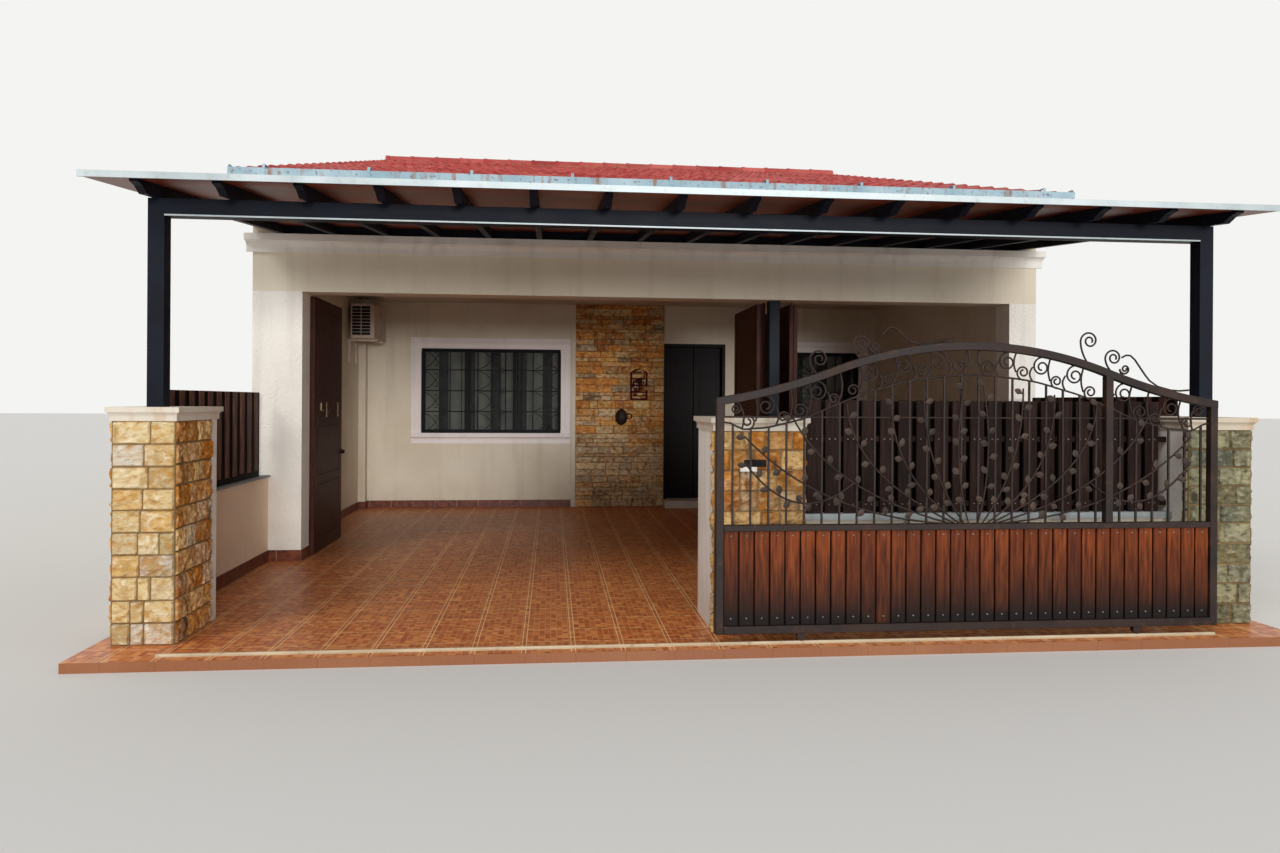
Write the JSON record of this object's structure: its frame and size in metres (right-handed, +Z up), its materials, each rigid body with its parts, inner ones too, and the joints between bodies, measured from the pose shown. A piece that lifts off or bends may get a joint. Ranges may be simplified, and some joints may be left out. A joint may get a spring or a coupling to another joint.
{
  "type": "single-storey terraced house",
  "caption": "Terraced house with a tiled roof, a deep car porch, a lean-to canopy, stone gate pillars and an arched wrought-iron sliding gate.",
  "frame": {"origin": "on the ground, in the middle of the lot's width, under the front face of the porch beam", "axes": "+X along the street to the right, +Y from the street into the lot, +Z up"},
  "size_m": [7.74, 17.33, 5.654],
  "materials": {
    "floor_tile": "satin",
    "concrete": "matt",
    "cream_render": "matt",
    "white_render": "matt",
    "ledger_stone": "rough",
    "block_stone": "rough",
    "ceiling_board": "matt",
    "coping": "matt",
    "skirting_tile": "satin",
    "navy_steel": "satin",
    "window_steel": "satin",
    "window_glass": "polished",
    "dark_door": "satin",
    "brown_door": "satin",
    "brown_timber": "satin",
    "red_timber": "satin",
    "air_unit": "satin",
    "plaque": "satin",
    "canopy_sheet": "satin",
    "fascia_metal": "satin",
    "roof_tile": "satin",
    "gutter_metal": "weathered",
    "soffit_board": "matt",
    "wrought_iron": "satin",
    "steel": "worn"
  },
  "bodies": {
    "house": {"porch_floor": "floor_tile", "house_floor": "concrete", "door_step": "white_render", "party_walls": "cream_render", "wing_walls": "white_render", "porch_beam": "cream_render", "cornice": "white_render", "porch_post": "navy_steel", "window_wall_left": "cream_render", "window_wall_right": "cream_render", "stone_clad_pier": "ledger_stone", "door_head_wall": "cream_render", "rear_wall": "cream_render", "ceilings": "ceiling_board", "window_surrounds": "white_render", "window_frames": "window_steel", "window_glass": "window_glass", "window_grilles": "window_steel", "entrance_frame": "dark_door", "rear_door": "brown_door", "folding_doors_left": "brown_door", "folding_doors_right": "brown_door", "air_conditioner": "air_unit", "wall_ornaments": "plaque", "skirting": "skirting_tile", "left_gate_pillar": "block_stone", "middle_gate_pillar": "block_stone", "right_gate_pillar": "block_stone", "pillar_caps": "white_render", "boundary_walls": "cream_render", "wall_copings": "coping", "boundary_fences": "brown_timber", "front_low_wall": "cream_render", "front_fence": "brown_timber", "canopy_posts": "navy_steel", "canopy_beam": "navy_steel", "canopy_rafters": "navy_steel", "canopy_panel": "canopy_sheet", "canopy_fascia": "fascia_metal", "front_roof_slope": "roof_tile", "rear_roof_slope": "roof_tile", "ridge_tiles": "roof_tile", "gutters": "gutter_metal", "eave_soffits": "soffit_board", "gate_track": "steel"},
    "gate": {"gate_frame": "wrought_iron", "gate_boards": "red_timber", "gate_bars": "wrought_iron", "gate_vines": "wrought_iron", "gate_wheels": "steel"},
    "entrance_leaf_left": {"entrance_door_left": "dark_door"},
    "entrance_leaf_right": {"entrance_door_right": "dark_door"}
  },
  "joints": [
    {"name": "gate_slide", "type": "slide", "parent": "house", "child": "gate", "axis": [-1, 0, 0], "range_m": [0, 3.27]},
    {"name": "entrance_left_hinge", "type": "hinge", "parent": "house", "child": "entrance_leaf_left", "pos_m": [0.602, 4.338, 0.165], "axis": [0, 0, 1], "range_deg": [0, 90]},
    {"name": "entrance_right_hinge", "type": "hinge", "parent": "house", "child": "entrance_leaf_right", "pos_m": [1.407, 4.338, 0.165], "axis": [0, 0, -1], "range_deg": [0, 90]}
  ]
}
